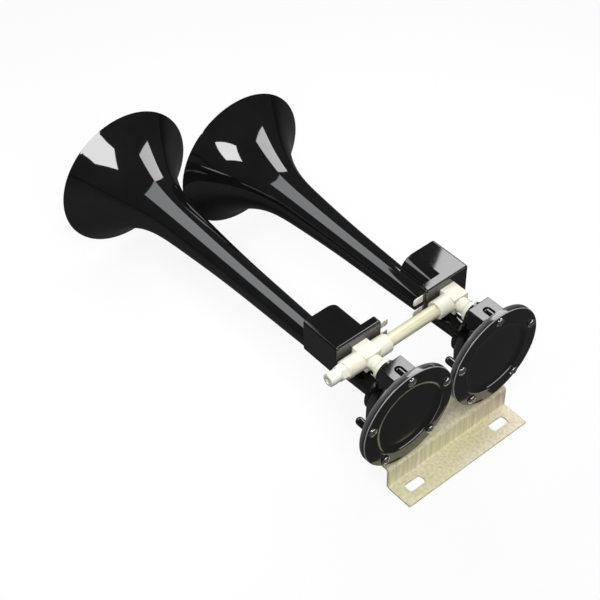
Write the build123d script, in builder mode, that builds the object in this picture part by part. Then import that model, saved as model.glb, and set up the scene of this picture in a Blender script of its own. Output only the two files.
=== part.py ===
from build123d import *
import os

# Twin air horn.  Two flared trumpets lie side by side, each with its own diaphragm driver and its
# own solenoid valve, and one folded bracket carries them.  All sizes are in millimetres.
# Frame: the origin is the middle of the two bracket slots on the underside of the lower flange,
# +Z is up, +Y points at the bells and +X from the long, low horn to the short, high horn.
# A "reach" is a distance along +Y from the outer face of the driver covers, and a "height" is
# a distance along +Z from the trumpet axes.

os.makedirs("parts", exist_ok=True)

# ---- layout and clearances
axis_height = 66.0
cover_face_y = 9.7
fit = 0.05
rest_gap = 0.05

# ---- bracket
sheet = 1.6
bracket_width = 118.0
lower_flange_rear = 12.5
wall_face_y = 10.0
plate_top = 20.2
upper_plate_end = 37.0
bend_inside = 1.4
corner_round = 0.8
slot_width = 7.6
slot_length = 15.2
bolt_gap = 0.2

# ---- driver cover
cover_radius = 41.7
cover_gap = 0.6
cover_depth = 5.2
cover_wall = 2.0
cover_plate = 3.0
front_edge = 0.7
rear_edge = 0.4
dish_margin = 9.9
bead_width = 2.6
bead_height = 0.5
dish_depth = 1.9
dish_wall = 5.6

# ---- diaphragm pack and its screws
gasket = 0.6
gasket_width = 8.0
diaphragm = 0.4
screw_margin = 5.4
screw_count = 5
first_screw = 90
screw_radius = 1.7
screw_head_radius = 3.6
screw_head = 1.9
screw_head_round = 0.9
screw_end = 12.0
recess_span = 3.9
recess_width = 0.9
recess_depth = 1.1

# ---- driver housing
flange = 2.3
dome_margin = 9.7
dome_middle_fall = 3.3
dome_neck_fall = 11.7
dome_middle_reach = 12.3
dome_neck_reach = 22.0
housing_wall = 2.3
chamber_end = 18.8
collar_radius = 13.95
collar_start = 28.2
collar_end = 31.9
collar_edge = 1.0
nozzle_radius = 7.5
throat_radius = 4.6
stud_radius = 3.1
stud_end = 15.5
stud_gap = 0.2

# ---- air port on the housing
port_half = 10.0
port_rise = 12.8
port_root = 10.0
port_end = 21.6
port_edge = 0.7
port_boss_radius = 9.2
port_boss_end = 25.2
port_bore = 2.6
port_bore_start = 9.0

# ---- foot on the bracket
foot_width = 24.0
foot_depth = 16.0
foot_start = 8.6
foot_root = 16.0
bolt_radius = 2.5
bolt_thread = 9.0
bolt_flats = 8.0
bolt_head = 3.5
washer_radius = 5.0
washer = 1.0

# ---- trumpets: distance back from the bell's plane, and outer radius there
low_bell_reach = 332.9
high_bell_reach = 289.1
low_flare = [(210, 10.6), (140, 12.7), (88, 16.0), (50, 21.6), (34, 28.2), (20.7, 37.2), (8.1, 49.5),
             (0, 58.9)]
high_flare = [(190, 10.4), (130, 12.6), (85, 15.5), (50, 20.9), (34, 27.6), (20.7, 36.1), (8.1, 48.1),
              (0, 58.9)]
tail_taper = 0.03
trumpet_wall = 2.1
tail_radius = 7.8
tail_depth = 9.0
throat_gasket = 1.0

# ---- valve body and the air run across it
run_reach = 44.4
run_radius = 7.2
run_bore = 4.3
run_inboard = 19.0
run_outboard = 21.0
run_edge = 0.6
socket_radius = 5.0
socket_depth = 9.5
socket_mouth = 5.95
body_half = 6.75
body_start = 37.4
body_end = 51.9
body_edge = 0.5
outlet_neck = 5.9
outlet_ring_radius = 8.3
outlet_ring = 3.0
outlet_flare = 3.4
outlet_bore = 2.1
spigot_radius = 5.3
spigot = 4.9
seat_radius = 2.5
seat_bore = 1.4
seat_root = 38.6
seat_reach = 48.6
chamber_radius = 5.2
chamber_start = 46.0

# ---- solenoid coil
case_inboard = 12.9
case_outboard = 20.8
case_half = 14.4
case_gap = 0.6
case_flange_inboard = 20.7
case_flange = 7.0
case_end = 87.9
case_throat_round = 12.15
case_corner = 2.2
case_edge = 1.7
tube_outer = 4.5
tube_inner = 3.75
tube_base = 1.9
tube_end = 80.0
plunger_length = 21.0
plunger_travel = 2.0
travel_gap = 0.3
seal_radius = 2.9
seal = 2.0
seal_proud = 0.4
pocket_radius = 2.5
pocket_depth = 6.0
spring_radius = 1.9
spring_wire = 0.3
spring_turns = 6
core_stud = 3.0
stud_proud = 0.8
yoke_sheet = 1.5
yoke_half = 8.0
yoke_inboard = 9.0
yoke_outboard = 13.5
cheek_radius = 11.2
cheek = 1.2
bobbin_wall = 0.8
winding_radius = 10.4
yoke_back = 85.4
nut_flats = 10.0
nut = 3.0
terminal_width = 6.3
terminal = 0.8
terminal_spacing = 11.0
terminal_length = 8.8
terminal_root = 5.0
terminal_reach = 55.4
terminal_corner = 1.2

# ---- air line
air_tube_bore = 3.6
inlet_flats = 10.9
inlet_hex = 5.0
inlet_stub = 9.4
inlet_bore = 2.7
inlet_thread = 8.0
inlet_edge = 0.5
ring_cord = 0.6
ring_groove = 1.6
tube_ring_depth = 2.4

# ---- planes shared by neighbouring pieces
horn_spacing = 2 * cover_radius + cover_gap
dish_radius = cover_radius - dish_margin
pitch_radius = cover_radius - screw_margin
dome_root = cover_radius - dome_margin
dome_middle = dome_root - dome_middle_fall
dome_neck = dome_root - dome_neck_fall
port_height = low_flare[0][1] + case_gap + case_half
port_top = port_height + port_rise
diaphragm_front = cover_plate + gasket
flange_front = diaphragm_front + diaphragm
flange_back = flange_front + flange
tail_start = collar_end - tail_depth
throat_start = tail_start - throat_gasket
spigot_end = port_boss_end - spigot
plunger_front = seat_reach + rest_gap + seal_proud
plunger_back = plunger_front + plunger_length
core_front = plunger_back + plunger_travel + travel_gap
yoke_front = body_end + case_flange
bobbin_front = yoke_front + yoke_sheet
bobbin_back = yoke_back - yoke_sheet
foot_reach = foot_start + foot_depth / 2
foot_drop = axis_height - plate_top
run_y = cover_face_y + run_reach
run_z = axis_height + port_height


def across(x, reach, height=0):
    """Plane square to the horns; sketch x is world X, sketch y is world Z, normal towards the covers."""
    return Plane(origin=(x, cover_face_y + reach, axis_height + height), x_dir=(1, 0, 0), z_dir=(0, -1, 0))


def lathe(x, height=0):
    """Plane through an axis along Y; sketch x is the radius, sketch y is the reach."""
    return Plane(origin=(x, cover_face_y, axis_height + height))


def spin(x, height=0):
    """Turn the pending lathe() profile around its axis."""
    revolve(axis=Axis((x, cover_face_y, axis_height + height), (0, 1, 0)))


def rod(x, height, radius, start, end, mode=Mode.ADD):
    """Cylinder along Y between two reaches."""
    with BuildSketch(across(x, end, height)) as section:
        Circle(radius)
    extrude(section.sketch, amount=end - start, mode=mode)


def side_rod(start, end, radius, mode=Mode.ADD):
    """Cylinder on the axis of the air run, between two world x values."""
    with BuildSketch(Plane.YZ.offset(min(start, end))) as section:
        with Locations((run_y, run_z)):
            Circle(radius)
    extrude(section.sketch, amount=abs(end - start), mode=mode)


def screw_holes(x, radius, start, end, mode=Mode.SUBTRACT):
    """Rods or holes on the cover's screw circle."""
    with BuildSketch(across(x, end)) as section:
        with PolarLocations(pitch_radius, screw_count, start_angle=first_screw):
            Circle(radius)
    extrude(section.sketch, amount=end - start, mode=mode)


def save(piece, name):
    piece.part.label = name
    export_step(piece.part, f"parts/{name}.step")


# ================================================================================================
# Bracket: one sheet folded into a lower flange with two slots, a wall and an upper plate
# ================================================================================================
with BuildPart() as bracket:
    with BuildSketch(Plane.YZ.offset(-bracket_width / 2)) as fold:
        with BuildLine():
            Polyline(
                (-lower_flange_rear, 0),
                (wall_face_y + sheet, 0),
                (wall_face_y + sheet, plate_top - sheet),
                (upper_plate_end, plate_top - sheet),
                (upper_plate_end, plate_top),
                (wall_face_y, plate_top),
                (wall_face_y, sheet),
                (-lower_flange_rear, sheet),
                close=True,
            )
        make_face()
        levels = fold.vertices().group_by(Axis.Y)
        fillet([levels[1].sort_by(Axis.X)[-1], levels[-2].sort_by(Axis.X)[0]], bend_inside)
        levels = fold.vertices().group_by(Axis.Y)
        fillet([levels[0].sort_by(Axis.X)[-1], levels[-1].sort_by(Axis.X)[0]], bend_inside + sheet)
    extrude(amount=bracket_width)
    corners = bracket.edges().filter_by(Axis.Z).group_by(Axis.Y)
    fillet(corners[0] + corners[-1], corner_round)
    with BuildSketch():
        with Locations((-horn_spacing / 2, 0), (horn_spacing / 2, 0)):
            Circle(slot_length / 2)
        Rectangle(bracket_width, slot_width, mode=Mode.INTERSECT)
    extrude(amount=sheet, mode=Mode.SUBTRACT)
    with BuildSketch(Plane.XY.offset(plate_top - sheet)):
        with Locations((0, cover_face_y + foot_reach)):
            with GridLocations(horn_spacing, 0, 2, 1):
                Circle(bolt_radius + bolt_gap)
    extrude(amount=sheet, mode=Mode.SUBTRACT)
save(bracket, "bracket")

for horn, hand, bell_reach, flare in (
    ("low", -1, low_bell_reach, low_flare),
    ("high", 1, high_bell_reach, high_flare),
):
    x = hand * horn_spacing / 2

    # ============================================================================================
    # Driver cover: a shallow cup with a flat screw annulus, a low bead and a plain dished centre
    # ============================================================================================
    with BuildPart() as driver_cover:
        with BuildSketch(lathe(x)):
            with BuildLine():
                bead_inner = dish_radius - bead_width
                Polyline((0, cover_plate), (0, dish_depth), (bead_inner - dish_wall, dish_depth))
                Spline(
                    (bead_inner - dish_wall, dish_depth),
                    (bead_inner, 0),
                    tangents=[(1, 0), (dish_depth, -dish_depth)],
                )
                ThreePointArc(
                    (bead_inner, 0),
                    (dish_radius - bead_width / 2, -bead_height),
                    (dish_radius, 0),
                )
                Polyline(
                    (dish_radius, 0),
                    (cover_radius - front_edge, 0),
                    (cover_radius, front_edge),
                    (cover_radius, cover_depth - rear_edge),
                    (cover_radius - rear_edge, cover_depth),
                    (cover_radius - cover_wall, cover_depth),
                    (cover_radius - cover_wall, cover_plate),
                    (0, cover_plate),
                )
            make_face()
        spin(x)
        screw_holes(x, screw_radius + 2 * fit, 0, cover_plate)
    save(driver_cover, f"{horn}_driver_cover")

    # Cover screws: pan heads with a cross recess, shanks into the housing's blind bosses
    with BuildPart() as cover_screws:
        screw_holes(x, screw_head_radius, -screw_head, 0, Mode.ADD)
        fillet(cover_screws.edges().group_by(Axis.Y)[0], screw_head_round)
        screw_holes(x, screw_radius, 0, screw_end, Mode.ADD)
        with BuildSketch(across(x, recess_depth - screw_head)):
            with PolarLocations(pitch_radius, screw_count, start_angle=first_screw):
                Rectangle(recess_span, recess_width)
                Rectangle(recess_width, recess_span)
        extrude(amount=recess_depth, mode=Mode.SUBTRACT)
    save(cover_screws, f"{horn}_cover_screws")

    # Rubber gasket and spring-steel diaphragm, clamped between the cover and the housing
    with BuildPart() as diaphragm_gasket:
        rod(x, 0, cover_radius - cover_wall - fit, cover_plate, diaphragm_front)
        rod(x, 0, cover_radius - cover_wall - gasket_width, cover_plate, diaphragm_front, Mode.SUBTRACT)
        screw_holes(x, screw_radius + 2 * fit, cover_plate, diaphragm_front)
    save(diaphragm_gasket, f"{horn}_diaphragm_gasket")

    with BuildPart() as diaphragm_disc:
        rod(x, 0, cover_radius - cover_wall - fit, diaphragm_front, flange_front)
        screw_holes(x, screw_radius + 2 * fit, diaphragm_front, flange_front)
    save(diaphragm_disc, f"{horn}_diaphragm")

    # ============================================================================================
    # Driver housing: flange, dome, collar for the trumpet, air port above and foot below
    # ============================================================================================
    with BuildPart() as housing:
        with BuildSketch(across(x, port_end, (port_top + port_root) / 2)):
            Rectangle(2 * port_half, port_top - port_root)
        extrude(amount=port_end - flange_back)
        top = housing.faces().sort_by(Axis.Z)[-1].edges()
        back = housing.faces().sort_by(Axis.Y)[-1].edges().filter_by(Axis.Z)
        fillet(top + back, port_edge)
        rod(x, port_height, port_boss_radius, port_end - port_edge, port_boss_end)
        with BuildSketch(across(x, foot_start + foot_depth, -(foot_drop + foot_root) / 2)):
            Rectangle(foot_width, foot_drop - foot_root)
        extrude(amount=foot_depth)
        with BuildSketch(lathe(x)):
            with BuildLine():
                Polyline(
                    (0, flange_front),
                    (cover_radius - cover_wall - fit, flange_front),
                    (cover_radius - cover_wall - fit, flange_back),
                    (dome_root, flange_back),
                )
                Spline(
                    (dome_root, flange_back),
                    (dome_middle, dome_middle_reach),
                    (dome_neck, dome_neck_reach),
                    (collar_radius, collar_start),
                )
                Polyline(
                    (collar_radius, collar_start),
                    (collar_radius, collar_end - collar_edge),
                    (collar_radius - collar_edge, collar_end),
                    (0, collar_end),
                    (0, flange_front),
                )
            make_face()
        spin(x)
        stud_dome = stud_end - stud_radius
        with BuildSketch(Plane.XY.offset(axis_height + port_top)):
            with Locations((x, cover_face_y + stud_dome)):
                Circle(stud_radius + stud_gap)
            with Locations((x, cover_face_y + (flange_back + stud_dome) / 2)):
                Rectangle(2 * (stud_radius + stud_gap), stud_dome - flange_back)
        extrude(amount=pitch_radius - port_top, mode=Mode.SUBTRACT)
        screw_holes(x, stud_radius, flange_front, stud_dome, Mode.ADD)
        with Locations(across(x, stud_dome)):
            with PolarLocations(pitch_radius, screw_count, start_angle=first_screw):
                Sphere(stud_radius)
        with BuildSketch(lathe(x)):
            with BuildLine():
                Polyline(
                    (nozzle_radius, chamber_end),
                    (nozzle_radius, flange_front),
                    (dome_root - housing_wall, flange_front),
                    (dome_root - housing_wall, flange_back),
                )
                Spline(
                    (dome_root - housing_wall, flange_back),
                    (dome_middle - housing_wall, dome_middle_reach - housing_wall / 3),
                    (dome_neck, chamber_end),
                )
                Line((dome_neck, chamber_end), (nozzle_radius, chamber_end))
            make_face()
        revolve(axis=Axis((x, cover_face_y, axis_height), (0, 1, 0)), mode=Mode.SUBTRACT)
        rod(x, 0, throat_radius, flange_front, throat_start, Mode.SUBTRACT)
        rod(x, 0, tail_radius + fit, throat_start, collar_end, Mode.SUBTRACT)
        rod(x, port_height, spigot_radius + fit, spigot_end - fit, port_boss_end, Mode.SUBTRACT)
        rod(x, port_height, port_bore, port_bore_start, spigot_end, Mode.SUBTRACT)
        screw_holes(x, screw_radius + fit, flange_front, screw_end + fit)
        with BuildSketch(Plane.XY.offset(plate_top)):
            with Locations((x, cover_face_y + foot_reach)):
                Circle(bolt_radius + fit)
        extrude(amount=bolt_thread + fit, mode=Mode.SUBTRACT)
    save(housing, f"{horn}_housing")

    # Foot bolt and washer, from below through the upper plate
    with BuildPart() as foot_washer:
        with BuildSketch(Plane.XY.offset(plate_top - sheet - washer)):
            with Locations((x, cover_face_y + foot_reach)):
                Circle(washer_radius)
                Circle(bolt_radius + 2 * fit, mode=Mode.SUBTRACT)
        extrude(amount=washer)
    save(foot_washer, f"{horn}_foot_washer")

    with BuildPart() as foot_bolt:
        with BuildSketch(Plane.XY.offset(plate_top - sheet - washer - bolt_head)):
            with Locations((x, cover_face_y + foot_reach)):
                RegularPolygon(bolt_flats / 2, 6, major_radius=False)
        extrude(amount=bolt_head)
        with BuildSketch(Plane.XY.offset(plate_top - sheet - washer)):
            with Locations((x, cover_face_y + foot_reach)):
                Circle(bolt_radius)
        extrude(amount=washer + sheet + bolt_thread)
    save(foot_bolt, f"{horn}_foot_bolt")

    # ============================================================================================
    # Trumpet: a thin tapered tube that opens into the bell, and the gasket under its tail
    # ============================================================================================
    with BuildPart() as throat_ring:
        rod(x, 0, tail_radius, throat_start, tail_start)
        rod(x, 0, throat_radius, throat_start, tail_start, Mode.SUBTRACT)
    save(throat_ring, f"{horn}_throat_gasket")

    with BuildPart() as trumpet:
        with BuildSketch(lathe(x)):
            with BuildLine():
                Line((tail_radius, tail_start), (tail_radius, collar_end))
                outer = Spline(
                    (tail_radius, collar_end),
                    *[(radius, bell_reach - back) for back, radius in flare],
                    tangents=[(tail_taper, 1), (flare[-1][1] - flare[-2][1], flare[-2][0])],
                )
                wall = [outer @ (i / 24) + trumpet_wall * (outer % (i / 24)).rotate(Axis.Z, 90)
                        for i in range(25)]
                inner_rim = (wall[-1].X, bell_reach)
                inner = Spline((tail_radius - trumpet_wall, collar_end), *wall[1:-1], inner_rim)
                Line(outer @ 1, inner_rim)
                Polyline(
                    (tail_radius - trumpet_wall, collar_end),
                    (tail_radius - trumpet_wall, tail_start),
                    (tail_radius, tail_start),
                )
            make_face()
        spin(x)
    save(trumpet, f"{horn}_trumpet")

    # ============================================================================================
    # Valve body: air run across, seat in the middle, outlet neck and spigot into the housing
    # ============================================================================================
    inner_port = x - hand * run_inboard
    outer_port = x - run_outboard if horn == "low" else x
    run_end = x - run_outboard if horn == "low" else x + run_bore
    with BuildPart() as valve_body:
        with BuildSketch(across(x, body_end, port_height)):
            Rectangle(2 * body_half, 2 * run_radius)
        extrude(amount=body_end - body_start)
        fillet(valve_body.edges().filter_by(Axis.Y), body_edge)
        side_rod(inner_port, outer_port, run_radius)
        rims = valve_body.edges().filter_by(GeomType.CIRCLE).group_by(Axis.X)
        fillet(rims[0] + rims[-1] if horn == "low" else rims[0], run_edge)
        with BuildSketch(lathe(x, port_height)):
            ring_end = port_boss_end + outlet_ring
            with BuildLine():
                Polyline(
                    (outlet_neck, body_start + body_edge),
                    (outlet_neck, ring_end + outlet_flare),
                    (outlet_ring_radius, ring_end),
                    (outlet_ring_radius, port_boss_end),
                    (spigot_radius, port_boss_end),
                    (spigot_radius, spigot_end),
                    (outlet_bore, spigot_end),
                    (outlet_bore, body_start + body_edge),
                    close=True,
                )
            make_face()
        spin(x, port_height)
        side_rod(inner_port, run_end, run_bore, Mode.SUBTRACT)
        side_rod(inner_port, inner_port + hand * socket_depth, socket_radius + fit, Mode.SUBTRACT)
        mouth = valve_body.faces().sort_by(Axis((0, 0, 0), (hand, 0, 0)))[0].edges().sort_by(SortBy.RADIUS)
        chamfer(mouth[0], socket_mouth - socket_radius - fit)
        ring_x = inner_port + hand * tube_ring_depth
        side_rod(ring_x - ring_groove / 2, ring_x + ring_groove / 2, socket_radius + 2 * ring_cord,
                 Mode.SUBTRACT)
        rod(x, port_height, chamber_radius, chamber_start, body_end, Mode.SUBTRACT)
        rod(x, port_height, seat_radius, seat_root, seat_reach)
        rod(x, port_height, seat_bore, seat_root, seat_reach, Mode.SUBTRACT)
        groove_middle = port_boss_end - spigot / 2
        rod(x, port_height, spigot_radius + fit, groove_middle - ring_groove / 2,
            groove_middle + ring_groove / 2, Mode.SUBTRACT)
        rod(x, port_height, spigot_radius - 2 * ring_cord, groove_middle - ring_groove / 2,
            groove_middle + ring_groove / 2)
        rod(x, port_height, outlet_bore, spigot_end, seat_root, Mode.SUBTRACT)
    save(valve_body, f"{horn}_valve_body")

    # Rubber rings: one in the groove of the spigot, one in the mouth of the tube socket
    with BuildPart() as outlet_ring_seal:
        with BuildSketch(lathe(x, port_height)):
            with Locations((spigot_radius - ring_cord, groove_middle)):
                Circle(ring_cord)
        spin(x, port_height)
    save(outlet_ring_seal, f"{horn}_outlet_ring")

    with BuildPart() as tube_ring_seal:
        with BuildSketch(Plane.XY.offset(run_z)):
            with Locations((ring_x, run_y + socket_radius + ring_cord)):
                Circle(ring_cord)
        revolve(axis=Axis((0, run_y, run_z), (1, 0, 0)))
    save(tube_ring_seal, f"{horn}_tube_ring")

    # ============================================================================================
    # Solenoid: guide tube with plunger, spring and fixed core, then yoke, bobbin, winding and case
    # ============================================================================================
    with BuildPart() as guide_tube:
        rod(x, port_height, chamber_radius - fit, body_end - tube_base, body_end)
        rod(x, port_height, tube_outer, body_end, tube_end)
        rod(x, port_height, tube_inner, body_end - tube_base, tube_end, Mode.SUBTRACT)
    save(guide_tube, f"{horn}_guide_tube")

    with BuildPart() as plunger:
        rod(x, port_height, tube_inner - fit, plunger_front, plunger_back)
        rod(x, port_height, seal_radius + fit, plunger_front, plunger_front + seal - seal_proud,
            Mode.SUBTRACT)
        rod(x, port_height, pocket_radius, plunger_back - pocket_depth, plunger_back, Mode.SUBTRACT)
    save(plunger, f"{horn}_plunger")

    with BuildPart() as plunger_seal:
        rod(x, port_height, seal_radius, plunger_front - seal_proud, plunger_front + seal - seal_proud)
    save(plunger_seal, f"{horn}_plunger_seal")

    spring_length = core_front - plunger_back + pocket_depth - rest_gap
    with BuildPart() as return_spring:
        with BuildLine():
            coil = Helix(
                pitch=(spring_length - 2 * spring_wire) / spring_turns,
                height=spring_length - 2 * spring_wire,
                radius=spring_radius,
                center=(x, cover_face_y + core_front - spring_length + spring_wire, run_z),
                direction=(0, 1, 0),
            )
        with BuildSketch(Plane(origin=coil @ 0, z_dir=coil % 0)):
            Circle(spring_wire)
        sweep()
    save(return_spring, f"{horn}_return_spring")

    with BuildPart() as fixed_core:
        rod(x, port_height, tube_inner - fit, core_front, bobbin_back)
        rod(x, port_height, core_stud, bobbin_back, case_end + nut + stud_proud)
    save(fixed_core, f"{horn}_fixed_core")

    yoke_middle = hand * (yoke_outboard - yoke_inboard) / 2
    yoke_length = yoke_outboard + yoke_inboard
    with BuildPart() as yoke:
        with BuildSketch(across(x, yoke_back, port_height)):
            with Locations((yoke_middle, 0)):
                Rectangle(yoke_length, 2 * yoke_half)
        extrude(amount=yoke_back - yoke_front)
        with BuildSketch(across(x, bobbin_back, port_height)):
            with Locations((yoke_middle - hand * yoke_sheet, 0)):
                Rectangle(yoke_length, 2 * yoke_half)
        extrude(amount=bobbin_back - bobbin_front, mode=Mode.SUBTRACT)
        rod(x, port_height, tube_outer + fit, yoke_front, bobbin_front, Mode.SUBTRACT)
        rod(x, port_height, core_stud + fit, bobbin_back, yoke_back, Mode.SUBTRACT)
    save(yoke, f"{horn}_yoke")

    with BuildPart() as bobbin:
        rod(x, port_height, tube_outer + fit + bobbin_wall, bobbin_front, bobbin_back)
        rod(x, port_height, cheek_radius, bobbin_front, bobbin_front + cheek)
        rod(x, port_height, cheek_radius, bobbin_back - cheek, bobbin_back)
        rod(x, port_height, tube_outer + fit, bobbin_front, bobbin_back, Mode.SUBTRACT)
    save(bobbin, f"{horn}_bobbin")

    with BuildPart() as winding:
        rod(x, port_height, winding_radius, bobbin_front + cheek, bobbin_back - cheek)
        rod(x, port_height, tube_outer + fit + bobbin_wall, bobbin_front + cheek, bobbin_back - cheek,
            Mode.SUBTRACT)
    save(winding, f"{horn}_winding")

    with BuildPart() as coil_case:
        with BuildSketch(across(x, case_end, port_height)) as section:
            with Locations((hand * (case_outboard - case_inboard) / 2, 0)):
                Rectangle(case_outboard + case_inboard, 2 * case_half)
            sides = section.vertices().sort_by(Axis((0, 0, 0), (hand, 0, 0)))
            fillet(sides[:2], case_throat_round)
            fillet(section.vertices().sort_by(Axis((0, 0, 0), (hand, 0, 0)))[-2:], case_corner)
        extrude(amount=case_end - body_end)
        with BuildSketch(across(x, yoke_front, port_height)) as section:
            with Locations((hand * (case_outboard - case_flange_inboard) / 2, 0)):
                Rectangle(case_outboard + case_flange_inboard, 2 * case_half)
            fillet(section.vertices(), case_corner)
        extrude(amount=case_flange)
        ends = coil_case.faces().sort_by(Axis.Y)
        fillet(ends[0].edges() + ends[-1].edges(), case_edge)
        rod(x, port_height, tube_outer + fit, body_end, yoke_front, Mode.SUBTRACT)
        rod(x, port_height, cheek_radius + fit, yoke_front, yoke_back, Mode.SUBTRACT)
        rod(x, port_height, core_stud + fit, yoke_back, case_end, Mode.SUBTRACT)
        with BuildSketch(across(x, yoke_back, port_height)):
            with Locations((yoke_middle, 0)):
                Rectangle(yoke_length + 2 * fit, 2 * (yoke_half + fit))
        extrude(amount=yoke_back - yoke_front, mode=Mode.SUBTRACT)
        with BuildSketch(across(x, terminal_reach + terminal / 2 + fit, port_height)):
            with Locations((-hand * (case_flange_inboard - terminal_root / 2), 0)):
                with GridLocations(0, terminal_spacing, 1, 2):
                    Rectangle(terminal_root, terminal_width + 2 * fit)
        extrude(amount=terminal + 2 * fit, mode=Mode.SUBTRACT)
    save(coil_case, f"{horn}_coil_case")

    with BuildPart() as coil_nut:
        with BuildSketch(across(x, case_end + nut, port_height)):
            RegularPolygon(nut_flats / 2, 6, major_radius=False)
            Circle(core_stud + fit, mode=Mode.SUBTRACT)
        extrude(amount=nut)
    save(coil_nut, f"{horn}_coil_nut")

    with BuildPart() as terminals:
        with BuildSketch(across(x, terminal_reach + terminal / 2, port_height)) as blades:
            with Locations((-hand * (case_flange_inboard + (terminal_length - terminal_root) / 2), 0)):
                with GridLocations(0, terminal_spacing, 1, 2):
                    Rectangle(terminal_length + terminal_root, terminal_width)
            tips = blades.vertices().sort_by(Axis((0, 0, 0), (hand, 0, 0)))
            chamfer(tips[:4], terminal_corner)
        extrude(amount=terminal)
    save(terminals, f"{horn}_terminals")

# ================================================================================================
# Air line: the tube between the two valve bodies, and the inlet on the low horn's valve body
# ================================================================================================
inner_port_x = horn_spacing / 2 - run_inboard
with BuildPart() as connecting_tube:
    tube_half = inner_port_x + socket_depth - fit
    side_rod(-tube_half, tube_half, socket_radius)
    side_rod(-tube_half, tube_half, air_tube_bore, Mode.SUBTRACT)
save(connecting_tube, "connecting_tube")

inlet_face = -horn_spacing / 2 - run_outboard
with BuildPart() as inlet_fitting:
    with BuildSketch(Plane.YZ.offset(inlet_face - inlet_hex)):
        with Locations((run_y, run_z)):
            RegularPolygon(inlet_flats / 2, 6, major_radius=False)
    extrude(amount=inlet_hex)
    side_rod(inlet_face, inlet_face + inlet_thread, run_bore - fit)
    stub_end = inlet_face - inlet_hex - inlet_stub
    side_rod(stub_end, inlet_face - inlet_hex, socket_radius)
    chamfer(inlet_fitting.edges().filter_by(GeomType.CIRCLE).group_by(Axis.X)[0], inlet_edge)
    side_rod(stub_end, inlet_face + inlet_thread, inlet_bore, Mode.SUBTRACT)
save(inlet_fitting, "inlet_fitting")
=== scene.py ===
import math

import bmesh
import bpy
import numpy as np
from mathutils import Matrix, Vector


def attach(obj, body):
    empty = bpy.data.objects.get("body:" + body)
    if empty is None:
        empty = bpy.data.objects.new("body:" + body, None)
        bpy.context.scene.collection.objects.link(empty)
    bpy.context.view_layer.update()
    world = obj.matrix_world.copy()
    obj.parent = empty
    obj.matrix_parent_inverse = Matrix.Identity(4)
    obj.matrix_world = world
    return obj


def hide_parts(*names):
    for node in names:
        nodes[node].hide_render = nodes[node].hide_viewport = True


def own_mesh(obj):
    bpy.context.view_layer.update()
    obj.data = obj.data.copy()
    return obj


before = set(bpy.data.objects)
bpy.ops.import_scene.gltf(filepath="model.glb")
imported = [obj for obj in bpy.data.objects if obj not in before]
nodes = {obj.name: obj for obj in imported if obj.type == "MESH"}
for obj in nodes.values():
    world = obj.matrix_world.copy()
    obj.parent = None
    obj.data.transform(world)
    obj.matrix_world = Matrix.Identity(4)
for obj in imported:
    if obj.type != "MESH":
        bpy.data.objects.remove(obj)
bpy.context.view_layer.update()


# ---------------------------------------------------------------------------------------------
# Bracket
# One strip of 1.6 mm steel folded twice, zinc plated and passivated to a pale yellow-green with
# a faint pink cast. Its cut edges are tumbled, and rolling marks run across the sheet.
# ---------------------------------------------------------------------------------------------
def put(tree, kind, values=(), **options):
    """Adds a node with its options, and links or sets its inputs."""
    made = tree.nodes.new(kind)
    for option, value in options.items():
        setattr(made, option, value)
    for socket, value in dict(values).items():
        if isinstance(value, bpy.types.NodeSocket):
            tree.links.new(value, made.inputs[socket])
        else:
            made.inputs[socket].default_value = value
    return made


def new_finish(name, **sockets):
    finish = bpy.data.materials.new(name)
    finish.use_nodes = True
    tree = finish.node_tree
    shader = tree.nodes["Principled BSDF"]
    for socket, value in sockets.items():
        shader.inputs[socket.replace("_", " ")].default_value = value
    return finish, tree, shader


def new_group(name, inputs, outputs, kind="ShaderNodeTree"):
    tree = bpy.data.node_groups.new(name, kind)
    for direction, sockets in (("INPUT", inputs), ("OUTPUT", outputs)):
        for socket, form in sockets.items():
            tree.interface.new_socket(socket, in_out=direction, socket_type="NodeSocket" + form)
    return tree, put(tree, "NodeGroupInput").outputs, put(tree, "NodeGroupOutput").inputs


def mixed(tree, share, first, second):
    return put(tree, "ShaderNodeMix", {0: share, 6: first, 7: second}, data_type="RGBA").outputs[2]


def worked(tree, operation, first, second=0.0):
    return put(tree, "ShaderNodeMath", {0: first, 1: second}, operation=operation).outputs[0]


def ranged(tree, value, start=0.0, end=1.0, low=0.0, high=1.0, **options):
    """A value brought from start..end to low..high."""
    return put(tree, "ShaderNodeMapRange", {"Value": value, "From Min": start, "From Max": end,
                                            "To Min": low, "To Max": high}, **options).outputs[0]


def object_place(tree):
    return put(tree, "ShaderNodeTexCoord").outputs["Object"]


def noise(tree, place, scale, detail, roughness=0.5):
    return put(tree, "ShaderNodeTexNoise", {"Vector": place, "Scale": scale, "Detail": detail,
                                            "Roughness": roughness}).outputs["Fac"]


def line_noise(tree, place, stretch, detail, roughness=0.5):
    """Noise drawn out into lines: stretch is its scale along x, y and z."""
    drawn = put(tree, "ShaderNodeVectorMath", {0: place, 1: stretch}, operation="MULTIPLY")
    return noise(tree, drawn.outputs[0], 1.0, detail, roughness)


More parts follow.
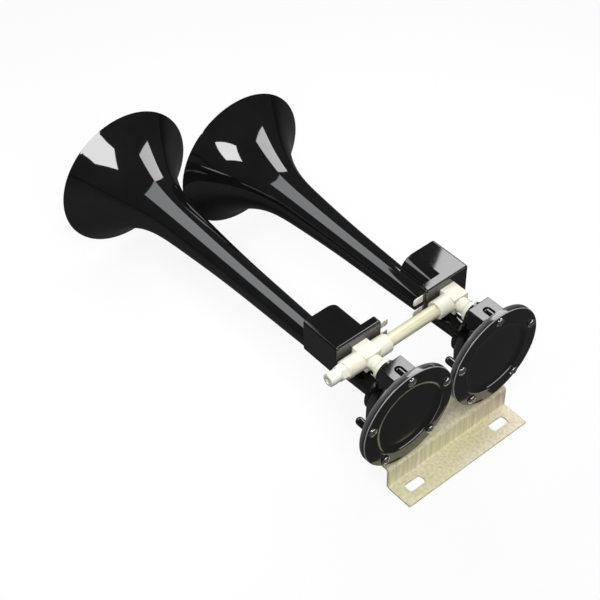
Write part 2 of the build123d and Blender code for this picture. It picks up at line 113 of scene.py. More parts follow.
def plated_sheen():
    """Plated sheet: a tint that drifts over the part, fine rolling lines and a few flecks."""
    tree, given, out = new_group(
        "plated_sheen",
        {"Colour": "Color", "Tint": "Color", "Fleck": "Color", "Line Stretch": "Vector",
         "Drift Scale": "Float", "Smoothest": "Float", "Roughest": "Float"},
        {"Colour": "Color", "Roughness": "Float", "Height": "Float"},
    )
    place = object_place(tree)
    drift = ranged(tree, noise(tree, place, given["Drift Scale"], detail=3.0), 0.42, 0.68)
    rolled = line_noise(tree, place, given["Line Stretch"], detail=4.0, roughness=0.6)
    lines = ranged(tree, rolled, 0.38, 0.62)
    flecks = ranged(tree, noise(tree, place, 250.0, detail=3.0, roughness=0.65), 0.50, 0.68, high=0.32)
    tinted = mixed(tree, drift, given["Colour"], given["Tint"])
    flecked = mixed(tree, flecks, tinted, given["Fleck"])
    shade = ranged(tree, lines, low=0.86, high=1.10)
    lined = put(tree, "ShaderNodeVectorMath", {0: flecked, "Scale": shade}, operation="SCALE")
    tree.links.new(lined.outputs[0], out["Colour"])
    tree.links.new(ranged(tree, lines, low=given["Smoothest"], high=given["Roughest"]), out["Roughness"])
    tree.links.new(lines, out["Height"])
    return tree


plated = plated_sheen()


def skinned(name, group, values, strength, relief, **sockets):
    """A finish whose colour, roughness and relief come from a group."""
    finish, tree, shader = new_finish(name, **sockets)
    skin = put(tree, "ShaderNodeGroup", node_tree=group)
    for socket, value in values.items():
        skin.inputs[socket].default_value = value
    grain = put(tree, "ShaderNodeBump", {"Height": skin.outputs["Height"], "Strength": strength,
                                         "Distance": relief})
    tree.links.new(skin.outputs["Colour"], shader.inputs["Base Color"])
    tree.links.new(skin.outputs["Roughness"], shader.inputs["Roughness"])
    tree.links.new(grain.outputs[0], shader.inputs["Normal"])
    return finish


def plated_finish(name, colour, tint, fleck, line_stretch, drift_scale, smoothest, roughest, relief,
                  **sockets):
    values = {"Colour": (*colour, 1), "Tint": (*tint, 1), "Fleck": (*fleck, 1), "Line Stretch": line_stretch,
              "Drift Scale": drift_scale, "Smoothest": smoothest, "Roughest": roughest}
    return skinned(name, plated, values, 0.35, relief, **sockets)


def overlay(finish, share, colour):
    """Lays a colour over the finish's own by a share, which is a socket of its tree."""
    base = finish.node_tree.nodes["Principled BSDF"].inputs["Base Color"]
    own = base.links[0].from_socket
    finish.node_tree.links.new(mixed(finish.node_tree, share, own, (*colour, 1)), base)


def edged_copy(name, node, bevel):
    """A copy of a formed or stamped piece with its cut edges eased."""
    form = bmesh.new()
    form.from_mesh(nodes[node].data)
    bmesh.ops.remove_doubles(form, verts=form.verts, dist=1e-6)
    bmesh.ops.dissolve_limit(form, angle_limit=math.radians(0.5), verts=form.verts, edges=form.edges)
    mesh = bpy.data.meshes.new(name)
    form.to_mesh(mesh)
    form.free()
    piece = bpy.data.objects.new(name, mesh)
    bpy.context.scene.collection.objects.link(piece)
    ease = piece.modifiers.new("eased_edges", "BEVEL")
    ease.width, ease.segments, ease.limit_method, ease.angle_limit = bevel, 2, "ANGLE", math.radians(35)
    bpy.context.view_layer.update()
    eased = bpy.data.meshes.new_from_object(piece.evaluated_get(bpy.context.evaluated_depsgraph_get()))
    piece.modifiers.clear()
    piece.data = eased
    eased.name = name
    eased.shade_smooth()
    eased.set_sharp_from_angle(angle=math.radians(28))
    return piece


def fit_piece(piece, body, replaced, finish):
    """Paints a piece, hangs it on the body that carries it, and hides the nodes it stands for."""
    piece.data.materials.clear()
    piece.data.materials.append(finish)
    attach(piece, body)
    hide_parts(*replaced)


bracket_zinc = plated_finish(
    "bracket_zinc", colour=(0.83, 0.78, 0.50), tint=(0.87, 0.78, 0.60), fleck=(0.92, 0.90, 0.76),
    line_stretch=(420.0, 420.0, 22.0), drift_scale=30.0, smoothest=0.34, roughest=0.46, relief=0.00004,
    Specular_IOR_Level=0.5,
)


def blush(finish, colour, start, end):
    """A pink cast that grows along the wall from start to end in x, in the rolling lines."""
    tree = finish.node_tree
    place = object_place(tree)
    along = put(tree, "ShaderNodeSeparateXYZ", {0: place}).outputs
    grow = ranged(tree, along[0], start, end, interpolation_type="SMOOTHSTEP")
    on_wall = ranged(tree, along[2], 0.002, 0.004)
    patch = ranged(tree, line_noise(tree, place, (560.0, 560.0, 18.0), detail=2.0), 0.40, 0.62, 0.1, 0.75)
    overlay(finish, worked(tree, "MULTIPLY", worked(tree, "MULTIPLY", grow, on_wall), patch), colour)


blush(bracket_zinc, colour=(0.66, 0.47, 0.36), start=0.004, end=0.046)
bracket_sheet = edged_copy("bracket_sheet", "bracket", bevel=0.00022)
fit_piece(bracket_sheet, "base", ["bracket"], bracket_zinc)


# ---------------------------------------------------------------------------------------------
# Foot bolts and washers
# M5 hexagon bolts with flat washers, in bright zinc plate, which clamp each housing's foot to
# the bracket's upper plate from below.
# ---------------------------------------------------------------------------------------------
fixing_zinc = plated_finish(
    "fixing_zinc", colour=(0.62, 0.62, 0.60), tint=(0.68, 0.66, 0.60), fleck=(0.52, 0.52, 0.50),
    line_stretch=(500.0, 500.0, 90.0), drift_scale=160.0, smoothest=0.2, roughest=0.34, relief=0.00002,
    Metallic=0.95,
)


def finish_nodes(finish, *names):
    """Paints nodes that keep their own mesh."""
    for name in names:
        nodes[name].data.materials.clear()
        nodes[name].data.materials.append(finish)


def pair(*names):
    return [horn + "_" + name for horn in ("low", "high") for name in names]


finish_nodes(fixing_zinc, *pair("foot_bolt", "foot_washer"))


# ---------------------------------------------------------------------------------------------
# Driver housings
# Injection moulded in glossy black plastic from a polished tool. The surface is bright, with a
# very slight flow waviness and a little handling haze.
# ---------------------------------------------------------------------------------------------
def moulded_skin():
    """Moulded plastic: colour that drifts a little, haze in the gloss, and a very low surface wave."""
    tree, given, out = new_group(
        "moulded_skin",
        {"Colour": "Color", "Deep Colour": "Color", "Drift Scale": "Float", "Wave Scale": "Float",
         "Smoothest": "Float", "Roughest": "Float"},
        {"Colour": "Color", "Roughness": "Float", "Height": "Float"},
    )
    place = object_place(tree)
    drift = ranged(tree, noise(tree, place, given["Drift Scale"], detail=3.0), 0.35, 0.65)
    haze = noise(tree, place, 900.0, detail=3.0, roughness=0.7)
    tree.links.new(mixed(tree, drift, given["Colour"], given["Deep Colour"]), out["Colour"])
    tree.links.new(ranged(tree, haze, 0.4, 0.75, given["Smoothest"], given["Roughest"]), out["Roughness"])
    tree.links.new(noise(tree, place, given["Wave Scale"], detail=1.0), out["Height"])
    return tree


moulded = moulded_skin()


def moulded_finish(name, colour, deep_colour, drift_scale, wave_scale, smoothest, roughest, relief,
                   **sockets):
    values = {"Colour": (*colour, 1), "Deep Colour": (*deep_colour, 1), "Drift Scale": drift_scale,
              "Wave Scale": wave_scale, "Smoothest": smoothest, "Roughest": roughest}
    return skinned(name, moulded, values, 0.4, relief, **sockets)


gloss_black = moulded_finish(
    "gloss_black", colour=(0.0040, 0.0040, 0.0042), deep_colour=(0.006, 0.006, 0.006), drift_scale=40.0,
    wave_scale=70.0, smoothest=0.035, roughest=0.07, relief=0.00002, IOR=1.6, Specular_IOR_Level=1.0,
)
finish_nodes(gloss_black, *pair("housing"))


# ---------------------------------------------------------------------------------------------
# Diaphragms and their gaskets
# A spring-steel disc clamped between a rubber ring and the housing's flange. Both are hidden by
# the cover.
# ---------------------------------------------------------------------------------------------
black_rubber = moulded_finish(
    "black_rubber", colour=(0.018, 0.018, 0.018), deep_colour=(0.03, 0.03, 0.03), drift_scale=300.0,
    wave_scale=1200.0, smoothest=0.55, roughest=0.75, relief=0.00004, Specular_IOR_Level=0.35,
)
spring_steel = plated_finish(
    "spring_steel", colour=(0.50, 0.50, 0.50), tint=(0.46, 0.48, 0.52), fleck=(0.42, 0.42, 0.42),
    line_stretch=(1200.0, 60.0, 60.0), drift_scale=60.0, smoothest=0.18, roughest=0.3, relief=0.00001,
    Metallic=1.0,
)
finish_nodes(black_rubber, *pair("diaphragm_gasket"))
finish_nodes(spring_steel, *pair("diaphragm"))


# ---------------------------------------------------------------------------------------------
# Driver covers
# Round caps moulded in the same black plastic: a flat ring for the screws, a low bead, and a plain
# dished centre. A painted highlight runs along their outer edges as a paler, duller line.
# ---------------------------------------------------------------------------------------------
axis_height = 0.066
cover_face = 0.0097
horn_x = {"low": -0.042, "high": 0.042}
millimetre = 0.001


def painted(tree, geometry, finish, out):
    solid = put(tree, "GeometryNodeRealizeInstances", {"Geometry": geometry.outputs[0]})
    paint = put(tree, "GeometryNodeSetMaterial", {"Geometry": solid.outputs[0], "Material": finish})
    tree.links.new(paint.outputs[0], out)


def lathe():
    """Turns the mesh's chain of points, radius along x and reach along y, about an axis along Y."""
    tree, given, out = new_group(
        "lathe",
        {"Profile": "Geometry", "Segments": "Int", "Axis": "Vector", "Finish": "Material"},
        {"Turned": "Geometry"},
        "GeometryNodeTree",
    )
    count = put(tree, "GeometryNodeAttributeDomainSize", {"Geometry": given["Profile"]}, component="MESH")
    points = count.outputs["Point Count"]
    rows, columns = worked(tree, "ADD", points, 1.0), worked(tree, "ADD", given["Segments"], 1.0)
    grid = put(tree, "GeometryNodeMeshGrid", {"Vertices X": columns, "Vertices Y": rows})
    index = put(tree, "GeometryNodeInputIndex").outputs[0]
    column = worked(tree, "FLOOR", worked(tree, "DIVIDE", index, rows))
    row = worked(tree, "SUBTRACT", index, worked(tree, "MULTIPLY", column, rows))
    around_again = worked(tree, "MODULO", row, points)
    place = put(tree, "GeometryNodeInputPosition").outputs[0]
    sampled = put(tree, "GeometryNodeSampleIndex",
                  {"Geometry": given["Profile"], "Value": place, "Index": around_again},
                  data_type="FLOAT_VECTOR", domain="POINT")
    profile = put(tree, "ShaderNodeSeparateXYZ", {0: sampled.outputs[0]}).outputs
    angle = worked(tree, "MULTIPLY", worked(tree, "DIVIDE", column, given["Segments"]), 2 * math.pi)
    across = worked(tree, "MULTIPLY", worked(tree, "COSINE", angle), profile[0])
    upward = worked(tree, "MULTIPLY", worked(tree, "SINE", angle), profile[0])
    around = put(tree, "ShaderNodeCombineXYZ", {0: across, 1: profile[1], 2: upward})
    placed = put(tree, "ShaderNodeVectorMath", {0: around.outputs[0], 1: given["Axis"]}, operation="ADD")
    wrapped = put(tree, "GeometryNodeSetPosition",
                  {"Geometry": grid.outputs["Mesh"], "Position": placed.outputs[0]})
    closed = put(tree, "GeometryNodeMergeByDistance", {"Geometry": wrapped.outputs[0], "Distance": 1e-6})
    painted(tree, closed, given["Finish"], out["Turned"])
    return tree


turning = lathe()


def made_by(tree, name, mesh, smooth_angle, **inputs):
    """Runs a geometry tree on a mesh once and keeps the plain result."""
    piece = bpy.data.objects.new(name, mesh)
    bpy.context.scene.collection.objects.link(piece)
    maker = piece.modifiers.new(tree.name, "NODES")
    maker.node_group = tree
    sockets = {item.name: item.identifier for item in tree.interface.items_tree if item.in_out == "INPUT"}
    for socket, value in inputs.items():
        maker[sockets[socket.replace("_", " ")]] = value
    bpy.context.view_layer.update()
    made = bpy.data.meshes.new_from_object(piece.evaluated_get(bpy.context.evaluated_depsgraph_get()))
    piece.modifiers.clear()
    piece.data = made
    made.name = name
    form = bmesh.new()
    form.from_mesh(made)
    bmesh.ops.recalc_face_normals(form, faces=form.faces)
    form.to_mesh(made)
    form.free()
    made.shade_smooth()
    made.set_sharp_from_angle(angle=math.radians(smooth_angle))
    return piece


def turned(name, profile, axis, segments, finish, smooth_angle=30):
    """profile is a closed chain of (radius, reach) in millimetres."""
    chain = bpy.data.meshes.new(name + "_profile")
    points = [(radius * millimetre, reach * millimetre, 0) for radius, reach in profile]
    chain.from_pydata(points, [(i, i + 1) for i in range(len(points) - 1)], [])
    return made_by(turning, name, chain, smooth_angle, Segments=segments, Axis=axis, Finish=finish)


def arc(centre, radius, start, end, steps):
    """Points on an arc, angles in degrees from the radius axis towards the reach axis."""
    turn = [math.radians(start + (end - start) * i / steps) for i in range(steps + 1)]
    return [(centre[0] + radius * math.cos(a), centre[1] + radius * math.sin(a)) for a in turn]


satin_black = moulded_finish(
    "satin_black", colour=(0.0062, 0.0062, 0.0062), deep_colour=(0.0080, 0.0080, 0.0080), drift_scale=60.0,
    wave_scale=60.0, smoothest=0.07, roughest=0.11, relief=0.00002, IOR=1.6, Specular_IOR_Level=1.0,
)
cover_radius, cover_depth, cover_wall, cover_plate = 41.7, 5.2, 2.0, 3.0
front_round, back_round, flat_reach = 0.7, 0.4, 37.0
bead_outer, bead_width, bead_height = 31.8, 1.8, 0.09
dish_depth, dish_wall = 1.9, 5.6
bead_inner = bead_outer - bead_width
cover_segments = 192


def dish_side(steps=24):
    """The dish's side wall: level at its foot, and rising at 45 degrees into the bead."""
    foot = bead_inner - dish_wall
    chord = math.hypot(dish_wall, dish_depth)
    lean = chord / math.sqrt(2)
    side = []
    for step in range(steps + 1):
        t = step / steps
        at_foot, from_foot = 2 * t**3 - 3 * t**2 + 1, t**3 - 2 * t**2 + t
        at_bead, from_bead = -2 * t**3 + 3 * t**2, t**3 - t**2
        side.append((at_foot * foot + from_foot * chord + at_bead * bead_inner + from_bead * lean,
                     at_foot * dish_depth - from_bead * lean))
    return side


def cover_profile():
    bead_round = (bead_width**2 / 4 + bead_height**2) / (2 * bead_height)
    half = math.degrees(math.asin(bead_width / 2 / bead_round))
    bead_centre = (bead_inner + bead_width / 2, bead_round - bead_height)
    bead = arc(bead_centre, bead_round, -90 - half, -90 + half, 12)
    floor = [(0, cover_plate)] + [(radius, dish_depth) for radius in (0, 8, 16)]
    front = arc((cover_radius - front_round, front_round), front_round, -90, 0, 6)
    back = arc((cover_radius - back_round, cover_depth - back_round), back_round, 0, 90, 4)
    inside = [(cover_radius - cover_wall, cover_depth), (cover_radius - cover_wall, cover_plate)]
    return floor + dish_side() + bead[1:] + [(bead_outer + 0.4, 0), (flat_reach, 0)] + front + back + inside


def mark_highlight_bands(piece, x, bands):
    """Marks the edges that get a painted highlight: bands are (radius, reach, half width) in millimetres
    about the horn's axis.
    """
    # This attribute carries the painted edge highlight.
    edge_glint = piece.data.attributes.new("edge_glint", "FLOAT", "POINT")
    for vertex, mark in zip(piece.data.vertices, edge_glint.data):
        radius = math.hypot(vertex.co.x - x, vertex.co.z - axis_height) / millimetre
        reach = (vertex.co.y - cover_face) / millimetre
        near = min(math.hypot(radius - r, reach - y) / width for r, y, width in bands)
        mark.value = max(0.0, 1.0 - near)


def paint_edge_highlight(finish, colour, roughness):
    """Paints a highlight on the marked edges: a paler colour, with duller gloss."""
    tree = finish.node_tree
    gloss = tree.nodes["Principled BSDF"].inputs["Roughness"]
    share = ranged(tree, put(tree, "ShaderNodeAttribute", attribute_name="edge_glint").outputs["Fac"], end=0.6)
    # Painted highlight: the marked edges take the paler colour.
    overlay(finish, share, colour)
    tree.links.new(ranged(tree, share, low=gloss.links[0].from_socket, high=roughness), gloss)


# The covers' outer edges get a painted highlight: pale grey 0.42 with duller gloss.
paint_edge_highlight(satin_black, colour=(0.42, 0.42, 0.42), roughness=0.3)
for horn, x in horn_x.items():
    cap = turned(horn + "_cover_cap", cover_profile(), (x, cover_face, axis_height), cover_segments,
                 satin_black)
    mark_highlight_bands(cap, x, [(cover_radius - 0.2, 0.2, 0.5), (cover_radius - 0.1, cover_depth - 0.1, 0.4)])
    fit_piece(cap, "base", [horn + "_driver_cover"], satin_black)


# ---------------------------------------------------------------------------------------------
# Cover screws
# Chromed pan-head screws with a cross recess, five in a ring on each cover. One head is formed
# and set round the screw circle.
# ---------------------------------------------------------------------------------------------
pitch_radius, screw_count = 36.3, 5
head_radius, head_height, head_round = 3.6, 1.9, 0.9
recess_span, recess_width, recess_depth, recess_draft = 3.9, 0.9, 1.1, 0.28
head_crown, edge_fall = 0.75, 0.6


def screw_head():
    """A head on its own axis: a domed disc whose cross recess has drafted sides."""
    rings, turns = 44, 96
    points, faces = [(0, -head_height + recess_depth, 0)], []

    def recess(u, v):
        arm = min(max(abs(u) - recess_span / 2, abs(v) - recess_width / 2),
                  max(abs(v) - recess_span / 2, abs(u) - recess_width / 2))
        return recess_depth * min(1.0, max(0.0, -arm / recess_draft))

    for ring in range(1, rings + 1):
        radius = head_radius * ring / rings
        over = max(0.0, radius - (head_radius - head_round))
        edge = head_round - math.sqrt(max(0.0, head_round**2 - over**2))
        crown = head_crown * (radius / head_radius) ** 2
        for turn in range(turns):
            a = 2 * math.pi * turn / turns
            u, v = radius * math.cos(a), radius * math.sin(a)
            points.append((u, -head_height + crown + edge_fall * edge + recess(u, v), v))
    for turn in range(turns):
        a = 2 * math.pi * turn / turns
        points.append((head_radius * math.cos(a), 0, head_radius * math.sin(a)))
    for turn in range(turns):
        after = (turn + 1) % turns
        faces.append((0, 1 + turn, 1 + after))
        for ring in range(rings):
            inner, outer = 1 + ring * turns, 1 + (ring + 1) * turns
            faces.append((inner + turn, outer + turn, outer + after, inner + after))
    base = 1 + rings * turns
    faces.append([base + turn for turn in reversed(range(turns))])
    mesh = bpy.data.meshes.new("screw_head")
    mesh.from_pydata([Vector(p) * millimetre for p in points], [], faces)
    return mesh


def screw_ring():
    """Sets the given head round a circle about an axis along Y, each turned a little differently."""
    tree, given, out = new_group(
        "screw_ring",
        {"Head": "Geometry", "Count": "Int", "Pitch Radius": "Float", "First Angle": "Float",
         "Axis": "Vector", "Turn Seed": "Int", "Finish": "Material"},
        {"Screws": "Geometry"},
        "GeometryNodeTree",
    )
    circle = put(tree, "GeometryNodeMeshCircle",
                 {"Vertices": given["Count"], "Radius": given["Pitch Radius"]})
    stood = put(tree, "GeometryNodeTransform",
                {"Geometry": circle.outputs[0], "Rotation": (math.pi / 2, 0, 0)})
    turn = put(tree, "ShaderNodeCombineXYZ", {1: given["First Angle"]})
    aimed = put(tree, "GeometryNodeTransform",
                {"Geometry": stood.outputs[0], "Rotation": turn.outputs[0], "Translation": given["Axis"]})
    spread = put(tree, "FunctionNodeRandomValue", {2: 0.0, 3: 1.5, "Seed": given["Turn Seed"]},
                 data_type="FLOAT")
    twist = put(tree, "ShaderNodeCombineXYZ", {1: spread.outputs[1]})
    set_round = put(tree, "GeometryNodeInstanceOnPoints",
                    {"Points": aimed.outputs[0], "Instance": given["Head"], "Rotation": twist.outputs[0]})
    painted(tree, set_round, given["Finish"], out["Screws"])
    return tree


screw_chrome = plated_finish(
    "screw_chrome", colour=(0.80, 0.80, 0.80), tint=(0.74, 0.75, 0.76), fleck=(0.66, 0.66, 0.66),
    line_stretch=(700.0, 700.0, 700.0), drift_scale=120.0, smoothest=0.06, roughest=0.14, relief=0.000006,
    Metallic=1.0,
)
setting = screw_ring()
for horn, x in horn_x.items():
    screws = made_by(setting, horn + "_screw_heads", screw_head(), 35, Count=screw_count,
                     Pitch_Radius=pitch_radius * millimetre, First_Angle=-math.pi / 2,
                     Axis=(x, cover_face, axis_height), Turn_Seed=3 if horn == "low" else 8,
                     Finish=screw_chrome)
    fit_piece(screws, "base", [horn + "_cover_screws"], screw_chrome)


# ---------------------------------------------------------------------------------------------
# Trumpets
# Long tapered horns in glossy black plastic, moulded with a thin wall that opens into the bell
# and ends in a plain rounded rim. The tail is bonded into the housing's collar.
# ---------------------------------------------------------------------------------------------
trumpet_wall, tail_radius, tail_start, collar_end, tail_taper = 2.1, 7.8, 22.9, 31.9, 0.03
rim_round, rim_land = 0.3, 0.2
trumpet_steps, trumpet_segments = 150, 192
bell_reach = {"low": 332.9, "high": 289.1}
flare = {
    "low": [(210, 10.6), (140, 12.7), (88, 16.0), (50, 21.6), (34, 28.2), (20.7, 37.2), (8.1, 49.5),
            (0, 58.9)],
    "high": [(190, 10.4), (130, 12.6), (85, 15.5), (50, 20.9), (34, 27.6), (20.7, 36.1), (8.1, 48.1),
             (0, 58.9)],
}


def smooth_line(points, first_slope, last_slope, steps):
    """A cubic line through the points with the given end directions, and its sideways direction."""
    p = np.array(points, float)
    chord = np.hypot(*np.diff(p, axis=0).T)
    at = np.concatenate([[0], np.cumsum(chord)])
    count = len(p)
    left, right = np.eye(count), np.zeros((count, 2))
    right[0] = np.array(first_slope) / np.hypot(*first_slope)
    right[-1] = np.array(last_slope) / np.hypot(*last_slope)
    for i in range(1, count - 1):
        a, b = chord[i - 1], chord[i]
        left[i, i - 1], left[i, i], left[i, i + 1] = b, 2 * (a + b), a
        right[i] = 3 * (b * (p[i] - p[i - 1]) / a + a * (p[i + 1] - p[i]) / b)
    slope = np.linalg.solve(left, right)
    line, side = [], []
    for reached in np.linspace(0, at[-1], steps):
        i = min(count - 2, int(np.searchsorted(at, reached, side="right")) - 1)
        t, c = (reached - at[i]) / chord[i], chord[i]
        line.append((2 * t**3 - 3 * t**2 + 1) * p[i] + (t**3 - 2 * t**2 + t) * c * slope[i]
                    + (3 * t**2 - 2 * t**3) * p[i + 1] + (t**3 - t**2) * c * slope[i + 1])
        along = ((6 * t**2 - 6 * t) * (p[i] - p[i + 1]) / c + (3 * t**2 - 4 * t + 1) * slope[i]
                 + (3 * t**2 - 2 * t) * slope[i + 1])
        side.append(np.array((-along[1], along[0])) / np.hypot(*along))
    return line, side


def trumpet_profile(horn):
    reach, ring = bell_reach[horn], flare[horn]
    points = [(tail_radius, collar_end)] + [(radius, reach - back) for back, radius in ring]
    mouth_slope = (ring[-1][1] - ring[-2][1], ring[-2][0])
    outer, side = smooth_line(points, (tail_taper, 1), mouth_slope, trumpet_steps)
    wall = [(p[0] + trumpet_wall * s[0], min(p[1] + trumpet_wall * s[1], reach)) for p, s in zip(outer, side)]
    wall = [p for p in wall if p[1] < reach - rim_land]
    rim = ring[-1][1]
    outer = [tuple(p) for p in outer if p[1] < reach - rim_round]
    edge = [(rim - 0.08, reach - 0.14), (rim, reach - 0.06), (rim - 0.12, reach),
            (wall[-1][0] + rim_land, reach)]
    return ([(tail_radius, tail_start)] + outer + edge + wall[::-1]
            + [(tail_radius - trumpet_wall, tail_start)])


for horn, x in horn_x.items():
    trumpet = turned(horn + "_horn_tube", trumpet_profile(horn), (x, cover_face, axis_height),
                     trumpet_segments, gloss_black)
    fit_piece(trumpet, "base", [horn + "_trumpet"], gloss_black)
finish_nodes(black_rubber, *pair("throat_gasket"))


# ---------------------------------------------------------------------------------------------
# Valve bodies
# Moulded in unpainted cream nylon, slightly translucent where the wall is thin, with a satin
# skin. The light through the thin wall is painted into the colour as a lighter, greener tone.
# Rubber rings seal the outlet and the tube sockets.
# ---------------------------------------------------------------------------------------------
def glow_painted_nylon(name, colour, deep_colour, glow_colour, start, end, **sockets):
    """Nylon with painted light: a little lighter and greener between two places along Y, where its wall is
    thin.
    """
    finish = moulded_finish(name, colour=colour, deep_colour=deep_colour, drift_scale=55.0, wave_scale=520.0,
                            smoothest=0.3, roughest=0.44, relief=0.00003, **sockets)
    tree = finish.node_tree
    along = put(tree, "ShaderNodeSeparateXYZ", {0: object_place(tree)}).outputs[1]
    # Painted light: the thin-walled part takes the lighter, greener colour.
    overlay(finish, ranged(tree, along, start, end, 1.0, 0.0, interpolation_type="SMOOTHSTEP"), glow_colour)
    return finish


# The third colour is painted light through the thin outlet wall.
cream_nylon = glow_painted_nylon(
    "cream_nylon", colour=(0.84, 0.815, 0.70), deep_colour=(0.82, 0.79, 0.66), glow_colour=(0.85, 0.84, 0.71),
    start=0.0445, end=0.0490, Specular_IOR_Level=0.45,
)
finish_nodes(cream_nylon, *pair("valve_body"))
finish_nodes(black_rubber, *pair("outlet_ring", "tube_ring"))


# ---------------------------------------------------------------------------------------------
# Connecting tube and inlet
# A drawn nylon air tube pushed into both valve bodies, and a turned white nylon inlet with a
# hexagon and a plain stub for the air hose.
# ---------------------------------------------------------------------------------------------
tube_nylon = plated_finish(
    "tube_nylon", colour=(0.72, 0.70, 0.49), tint=(0.78, 0.71, 0.55), fleck=(0.76, 0.75, 0.60),
    line_stretch=(14.0, 480.0, 480.0), drift_scale=45.0, smoothest=0.22, roughest=0.34, relief=0.00002,
    Specular_IOR_Level=0.5,
)
inlet_nylon = moulded_finish(
    "inlet_nylon", colour=(0.90, 0.90, 0.84), deep_colour=(0.86, 0.87, 0.76), drift_scale=90.0,
    wave_scale=500.0, smoothest=0.26, roughest=0.4, relief=0.00002, Specular_IOR_Level=0.5,
)
finish_nodes(tube_nylon, "connecting_tube")
finish_nodes(inlet_nylon, "inlet_fitting")


# ---------------------------------------------------------------------------------------------
# Solenoids
# A thin steel guide tube, a sliding plunger with a rubber seal and spring, a fixed core, a pressed
# zinc-plated yoke, and a copper winding on a nylon bobbin. The case hides them.
# ---------------------------------------------------------------------------------------------
core_steel = plated_finish(
    "core_steel", colour=(0.42, 0.42, 0.42), tint=(0.38, 0.38, 0.40), fleck=(0.33, 0.33, 0.33),
    line_stretch=(90.0, 1400.0, 90.0), drift_scale=80.0, smoothest=0.2, roughest=0.36, relief=0.00001,
    Metallic=1.0,
)
copper_wire = plated_finish(
    "copper_wire", colour=(0.62, 0.24, 0.10), tint=(0.54, 0.18, 0.07), fleck=(0.70, 0.32, 0.15),
    line_stretch=(30.0, 3200.0, 30.0), drift_scale=120.0, smoothest=0.22, roughest=0.4, relief=0.0001,
    Metallic=0.9,
)
bobbin_nylon = moulded_finish(
    "bobbin_nylon", colour=(0.55, 0.53, 0.46), deep_colour=(0.50, 0.48, 0.41), drift_scale=120.0,
    wave_scale=500.0, smoothest=0.35, roughest=0.5, relief=0.00003,
)
for finish, *names in ((core_steel, "guide_tube", "plunger", "fixed_core"), (black_rubber, "plunger_seal"),
                       (fixing_zinc, "yoke"), (bobbin_nylon, "bobbin"), (copper_wire, "winding")):
    finish_nodes(finish, *pair(*names))
no_bevel = 0.0
for horn, x in horn_x.items():
    coil = edged_copy(horn + "_spring_coil", horn + "_return_spring", no_bevel)
    fit_piece(coil, "base", [horn + "_return_spring"], spring_steel)
    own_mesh(coil)


# ---------------------------------------------------------------------------------------------
# Coil cases, nuts and terminals
# Black plastic cases slipped over the coils and held by a nut on the core's stud. Each has two
# tinned brass blades with their edges stamped and tumbled.
# ---------------------------------------------------------------------------------------------
blade_tin = plated_finish(
    "blade_tin", colour=(0.93, 0.92, 0.85), tint=(0.91, 0.88, 0.78), fleck=(0.88, 0.86, 0.78),
    line_stretch=(60.0, 900.0, 900.0), drift_scale=150.0, smoothest=0.22, roughest=0.36, relief=0.00001,
    Metallic=0.2,
)
finish_nodes(gloss_black, *pair("coil_case"))
finish_nodes(fixing_zinc, *pair("coil_nut"))
for horn in horn_x:
    blades = edged_copy(horn + "_blades", horn + "_terminals", bevel=0.00016)
    fit_piece(blades, "base", [horn + "_terminals"], blade_tin)


# ---------------------------------------------------------------------------------------------
# Floor, card, softboxes and camera
# A white floor and backdrop. A dark card on the floor shows only in reflections, and keeps the
# black sides deep. Softboxes stand right, near and in front, a sheet hangs overhead, and a fill
# lamp behind the viewer has no reflection.
# ---------------------------------------------------------------------------------------------
def flat_sheet(name, corners, finish):
    mesh = bpy.data.meshes.new(name)
    mesh.from_pydata(corners, [], [tuple(range(len(corners)))])
    sheet = bpy.data.objects.new(name, mesh)
    bpy.context.scene.collection.objects.link(sheet)
    mesh.materials.append(finish)
    return sheet


room = bpy.data.worlds.new("room")
room.use_nodes = True
sky = room.node_tree.nodes["Background"].inputs
sky["Color"].default_value, sky["Strength"].default_value = (0.97, 0.98, 1.0, 1), 0.048
bpy.context.scene.world = room

floor_paint, tree, shader = new_finish("floor_paint", Base_Color=(0.12, 0.12, 0.12, 1), Roughness=0.9,
                                       Specular_IOR_Level=0.0)
ray = put(tree, "ShaderNodeLightPath").outputs
seen = worked(tree, "MAXIMUM", ray["Is Camera Ray"], ray["Is Glossy Ray"])
seen = worked(tree, "MAXIMUM", seen, ray["Is Transmission Ray"])
white = put(tree, "ShaderNodeEmission", {"Color": (1, 1, 1, 1), "Strength": 0.88})
nothing = put(tree, "ShaderNodeEmission", {"Color": (0, 0, 0, 1), "Strength": 0.0})
pick = put(tree, "ShaderNodeMixShader", {0: seen, 1: nothing.outputs[0], 2: white.outputs[0]})
both = put(tree, "ShaderNodeAddShader", {0: shader.outputs[0], 1: pick.outputs[0]})
tree.links.new(both.outputs[0], tree.nodes["Material Output"].inputs["Surface"])
far, wall_height = 12.0, 3.0
corners = [(-far, -far), (far, -far), (far, far), (-far, far)]
flat_sheet("floor", [(x, y, -0.0005) for x, y in corners], floor_paint)
for side, (start, end) in enumerate(zip(corners, corners[1:] + corners[:1])):
    upright = [(*start, 0), (*end, 0), (*end, wall_height), (*start, wall_height)]
    wall = flat_sheet(f"backdrop_{side}", upright, floor_paint)
    wall.visible_glossy = wall.visible_diffuse = wall.visible_shadow = False

card_share = 0.99
card_grey = new_finish("card_grey", Base_Color=(0.08, 0.08, 0.08, 1), Roughness=0.9,
                       Specular_IOR_Level=0.0)[0]
card = flat_sheet("floor_card", [(card_share * x, card_share * y, -0.0003) for x, y in corners], card_grey)
card.visible_camera = card.visible_diffuse = card.visible_shadow = False

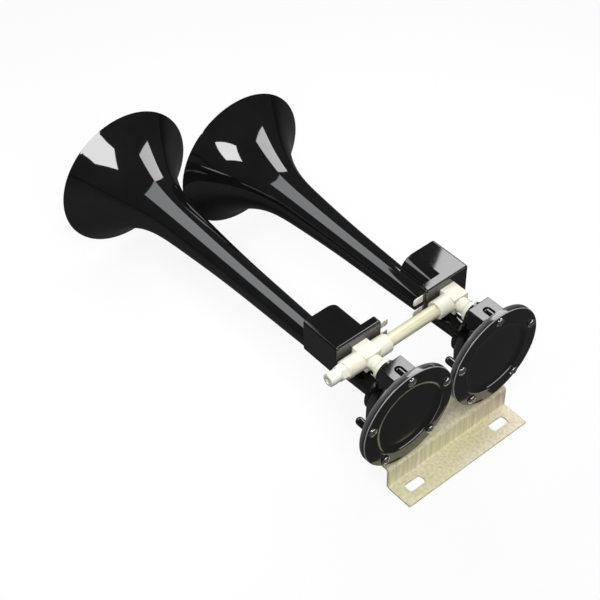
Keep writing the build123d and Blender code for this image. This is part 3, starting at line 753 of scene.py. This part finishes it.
overhead_glow, tree, shader = new_finish("overhead_glow", Base_Color=(0, 0, 0, 1), Specular_IOR_Level=0.0,
                                         Emission_Color=(0.94, 0.98, 1.0, 1), Emission_Strength=1.75)
overhead = flat_sheet("overhead_sheet", [(-0.311, 0.309, 0.45), (0.125, 0.309, 0.45), (0.125, 0.76, 0.45),
                                         (-0.311, 0.76, 0.45)], overhead_glow)
overhead.visible_camera = overhead.visible_shadow = False


def softbox(name, centre, width, height, radiance, frame_axes):
    """A soft panel: frame_axes are its width, height and back directions."""
    lamp = bpy.data.lights.new(name, "AREA")
    lamp.shape = "RECTANGLE"
    lamp.size, lamp.size_y = width, height
    lamp.energy = radiance * math.pi * width * height
    panel = bpy.data.objects.new(name, lamp)
    bpy.context.scene.collection.objects.link(panel)
    panel.rotation_mode = "QUATERNION"
    panel.location = centre
    panel.rotation_quaternion = Matrix(frame_axes).transposed().to_quaternion()
    panel.visible_camera = False
    return panel


softbox("softbox_right", (0.397, 0.177, 0.544), 0.384, 0.382, 4.05,
        [(0.629, 0.153, -0.763), (-0.341, 0.935, -0.094), (0.699, 0.319, 0.640)])
softbox("softbox_near", (-0.158, 0.037, 0.305), 0.172, 0.155, 6.8,
        [(-0.953, 0.209, 0.221), (-0.161, -0.310, -0.935), (-0.127, -0.927, 0.329)])
softbox("softbox_front", (0.45, -1.10, 0.29), 1.2, 0.28, 2.4, [(1, 0, 0), (0, 0, 1), (0, -1, 0)])
fill = softbox("fill", (-0.61, -0.78, 1.72), 1.5, 1.5, 3.7,
               [(0.848, -0.530, 0.0), (0.434, 0.695, 0.574), (-0.304, -0.486, 0.819)])
fill.visible_glossy = False

camera_data = bpy.data.cameras.new("camera")
camera_data.lens = 89.69
camera_data.sensor_width = 36.0
camera_data.clip_start, camera_data.clip_end = 0.05, 20
camera = bpy.data.objects.new("camera", camera_data)
bpy.context.scene.collection.objects.link(camera)
camera.location = (-0.5184959, -0.4491518, 0.8541540)
camera.rotation_mode = "QUATERNION"
camera.rotation_quaternion = Matrix([[0.761561, 0.4695104, -0.4467493], [-0.6479855, 0.5390507, -0.5380884],
                                     [-0.0118176, 0.6992742, 0.7147559]]).to_quaternion()
bpy.context.scene.camera = camera
bpy.context.scene.view_settings.view_transform = "Standard"
